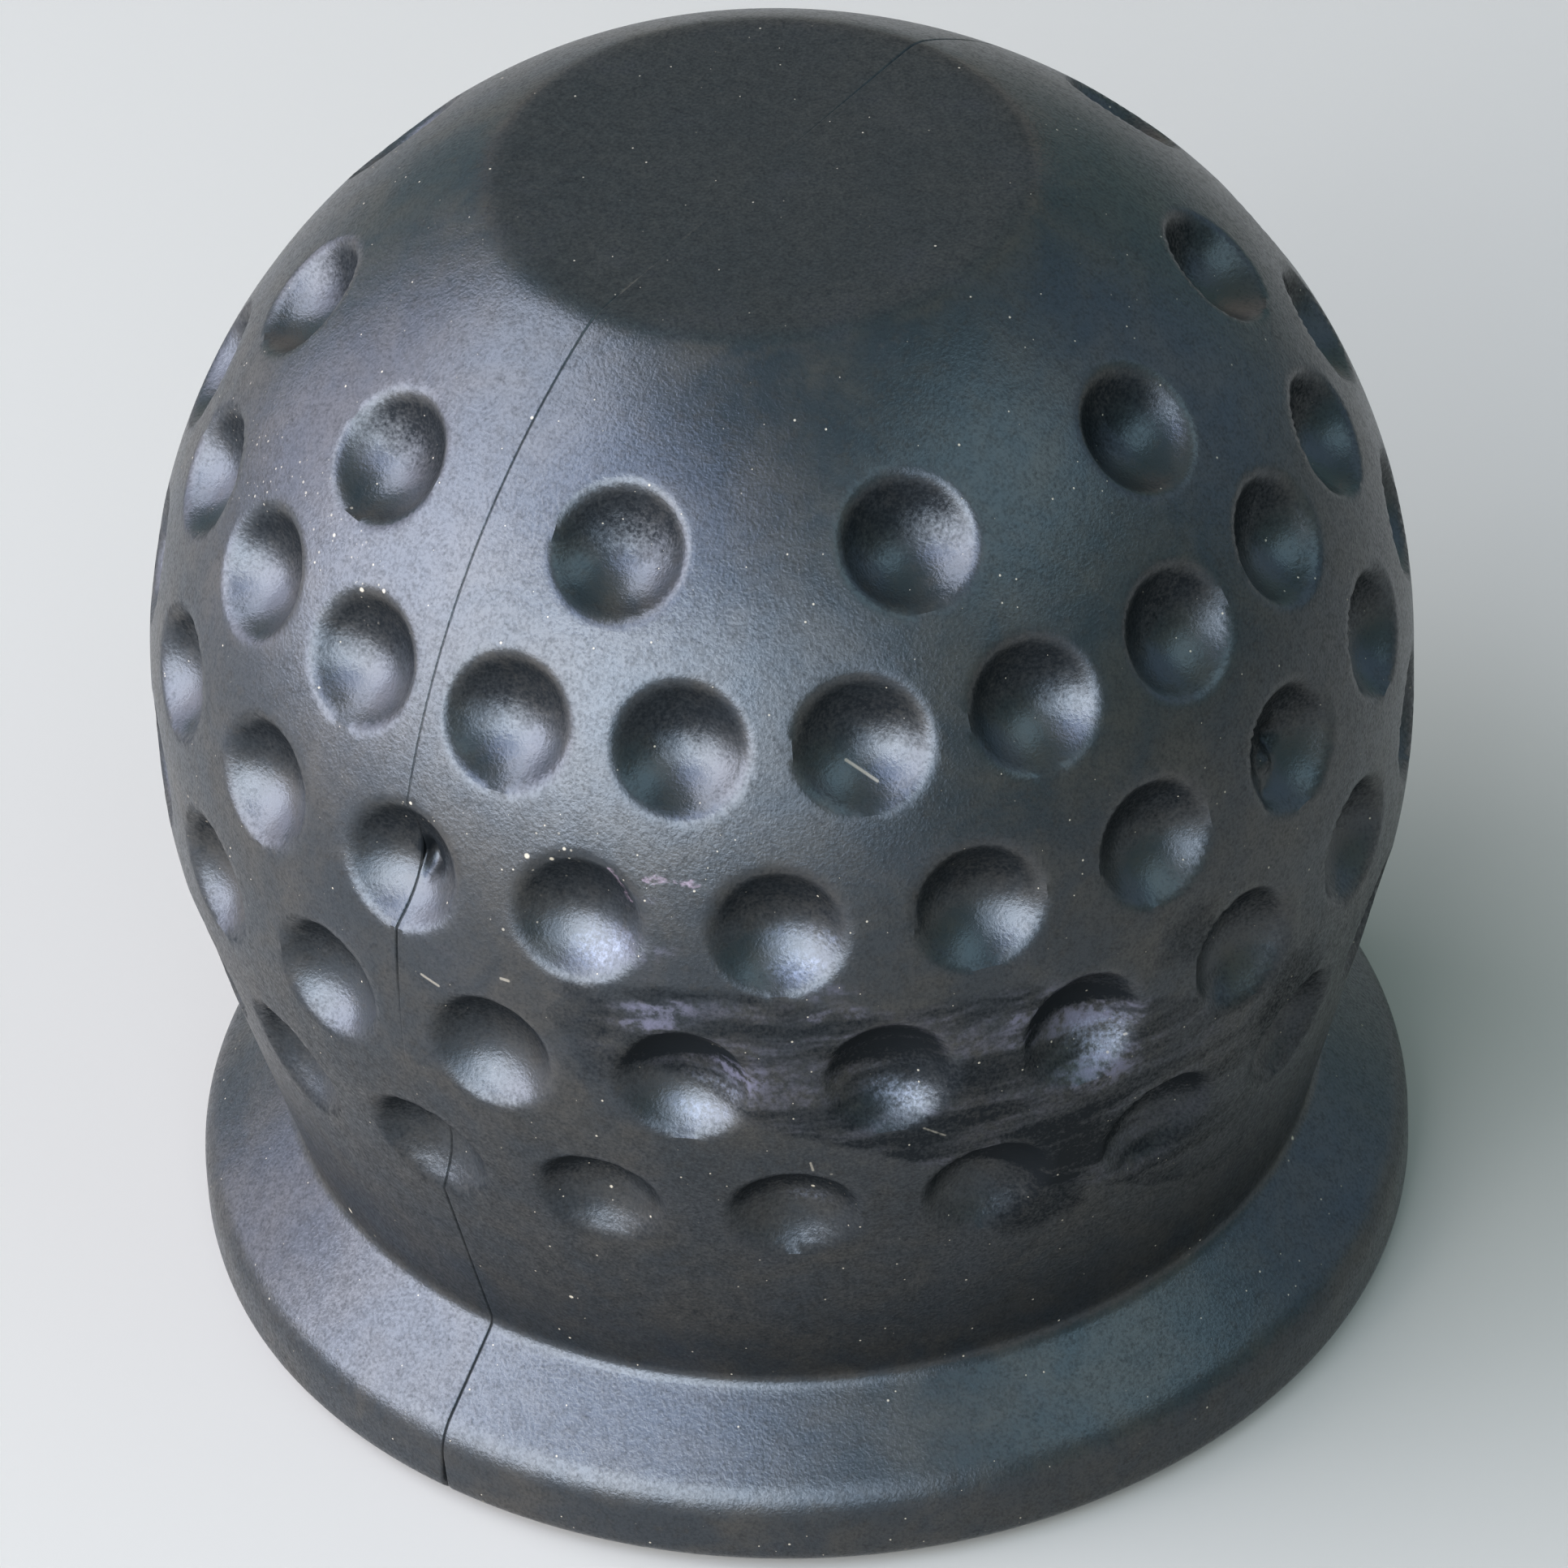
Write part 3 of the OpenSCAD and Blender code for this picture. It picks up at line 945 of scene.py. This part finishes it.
def floor_finish(colours):
    """Plain pale floor."""
    f = Finish("floor_paint")
    f.set(Base_Color=(*colours, 1.0), Roughness=0.8)
    return f.material


# ---------------------------------------------------------------------------
# Operators


def settle(piece, node, finish):
    """Ride the cap's only body, hide the CAD node it stands for and take the given finish."""
    piece.data.materials.append(finish)
    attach(piece, "root")
    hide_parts(node)


class CAP_OT_half_shells(bpy.types.Operator):
    """Build the two half shells of the cap."""

    bl_idname = "ball_cap.half_shells"
    bl_label = "Half Shells"

    def execute(self, context):
        scene = context.scene
        finish = shell_finish(scene.cap_finish)
        for node, side in (("left_half", -1), ("right_half", 1)):
            piece = half_shell(scene.cap_shell, f"{node}_skin", side)
            settle(piece, node, finish)
        return {"FINISHED"}


class CAP_OT_liner(bpy.types.Operator):
    """Build the socket liner."""

    bl_idname = "ball_cap.liner"
    bl_label = "Socket Liner"

    def execute(self, context):
        scene = context.scene
        piece = socket_liner(scene.cap_liner, scene.cap_shell.collar, "socket_liner_cup")
        settle(piece, "socket_liner", liner_finish(scene.cap_finish))
        return {"FINISHED"}


class CAP_OT_stage(bpy.types.Operator):
    """Set up the floor, the lights and the camera."""

    bl_idname = "ball_cap.stage"
    bl_label = "Stage"

    def execute(self, context):
        scene = context.scene
        stage = scene.cap_stage
        half = stage.floor_size / 2
        mesh = bpy.data.meshes.new("floor")
        level = -stage.floor_gap
        corners = [(-half, -half, level), (half, -half, level), (half, half, level),
                   (-half, half, level)]
        mesh.from_pydata(corners, [], [(0, 1, 2, 3)])
        mesh.materials.append(floor_finish(tuple(stage.floor)))
        floor = bpy.data.objects.new("floor", mesh)
        scene.collection.objects.link(floor)
        add_camera(scene, stage)
        for light in LIGHTS:
            add_light(scene, stage, *light)
        world = bpy.data.worlds.new("studio")
        world.use_nodes = True
        world.node_tree.nodes["Background"].inputs[0].default_value = (*WORLD_COLOUR, 1)
        world.node_tree.nodes["Background"].inputs[1].default_value = WORLD_STRENGTH
        scene.world = world
        scene.view_settings.view_transform = "Standard"
        return {"FINISHED"}


# name, turn from the camera (deg), elevation (deg), width, height (m), power (W), colour
LIGHTS = (
    ("window_far", -115, 20, 0.6, 0.8, 6.0, (0.76, 0.75, 1.0)),
    ("window_left", -85, 20, 0.6, 0.8, 18.5, (0.76, 0.81, 1.0)),
    ("window_mid", -55, 20, 0.6, 0.8, 18.5, (0.78, 0.85, 1.0)),
    ("window_near", -28, 22, 0.6, 0.8, 18.5, (0.74, 0.84, 1.0)),
    ("window_end", 0, 25, 0.6, 0.8, 8.0, (0.62, 0.77, 1.0)),
    ("sky_left", -100, 52, 0.8, 0.5, 12.5, (0.72, 0.79, 1.0)),
    ("sky_near", -45, 54, 0.7, 0.5, 7.0, (0.5, 0.62, 1.0)),
    ("fill_right", 65, 48, 0.8, 0.6, 3.6, (0.52, 0.80, 1.0)),
    ("fill_side", 110, 25, 0.7, 0.9, 1.0, (0.4, 0.5, 1.0)),
    ("warm_back", 178, 25, 0.9, 0.8, 0.9, (1.0, 0.45, 0.3)),
)
LIGHT_DISTANCE = 1.1
WORLD_COLOUR, WORLD_STRENGTH = (0.26, 0.42, 0.43), 1.0
CAMERA_LENS, SENSOR_WIDTH = 231.8, 36


def add_light(scene, stage, name, turn, rise, width, height, power, tint):
    """An area light on a sphere round the ball, facing it."""
    lamp = bpy.data.lights.new(name, "AREA")
    lamp.shape = "RECTANGLE"
    lamp.size, lamp.size_y = width, height
    lamp.energy = power
    lamp.color = tint
    light = bpy.data.objects.new(name, lamp)
    azimuth, rise = stage.azimuth + radians(turn), radians(rise)
    toward = Vector((sin(azimuth) * cos(rise), -cos(azimuth) * cos(rise), sin(rise)))
    light.matrix_world = Matrix.Translation(
        Vector((0, 0, BELT_Z)) + toward * LIGHT_DISTANCE
    ) @ toward.to_track_quat("Z", "Y").to_matrix().to_4x4()
    scene.collection.objects.link(light)


def add_camera(scene, stage):
    """The camera: aimed at the ball's centre, then nodded and rolled."""
    azimuth, rise = stage.azimuth, stage.elevation
    back = Vector((sin(azimuth) * cos(rise), -cos(azimuth) * cos(rise), sin(rise)))
    right = Vector((cos(azimuth), sin(azimuth), 0))
    up = back.cross(right)
    aim = Matrix((right, up, back)).transposed()
    aim = aim @ Matrix.Rotation(stage.yaw, 3, "Y") @ Matrix.Rotation(stage.pitch, 3, "X")
    aim = aim @ Matrix.Rotation(-stage.roll, 3, "Z")
    data = bpy.data.cameras.new("camera")
    data.sensor_width = SENSOR_WIDTH
    data.lens = CAMERA_LENS
    data.clip_start = 0.01
    camera = bpy.data.objects.new("camera", data)
    camera.matrix_world = Matrix.Translation(
        Vector((0, 0, BELT_Z)) + back * stage.distance
    ) @ aim.to_4x4()
    scene.collection.objects.link(camera)
    scene.camera = camera


class CAP_PT_panel(bpy.types.Panel):
    """Sizes, colours and steps of the ball cap."""

    bl_idname = "CAP_PT_panel"
    bl_label = "Ball Cap"
    bl_space_type = "VIEW_3D"
    bl_region_type = "UI"
    bl_category = "Ball Cap"

    def draw(self, context):
        scene = context.scene
        for group in GROUPS:
            box = self.layout.box()
            settings = getattr(scene, group)
            for key in settings.bl_rna.properties.keys():
                if key not in {"rna_type", "name"}:
                    box.prop(settings, key)
        for step in STEPS:
            self.layout.operator(step.bl_idname)


GROUPS = {
    "cap_shell": CAP_PG_shell,
    "cap_liner": CAP_PG_liner,
    "cap_finish": CAP_PG_finish,
    "cap_stage": CAP_PG_stage,
}
STEPS = (CAP_OT_half_shells, CAP_OT_liner, CAP_OT_stage)
CLASSES = (*GROUPS.values(), *STEPS, CAP_PT_panel)


def register():
    for cls in CLASSES:
        bpy.utils.register_class(cls)
    for name, group in GROUPS.items():
        setattr(bpy.types.Scene, name, PointerProperty(type=group))


def unregister():
    for name in GROUPS:
        delattr(bpy.types.Scene, name)
    for cls in reversed(CLASSES):
        bpy.utils.unregister_class(cls)


def main():
    """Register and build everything."""
    register()
    for step in STEPS:
        family, name = step.bl_idname.split(".")
        getattr(getattr(bpy.ops, family), name)()


if __name__ == "__main__":
    main()
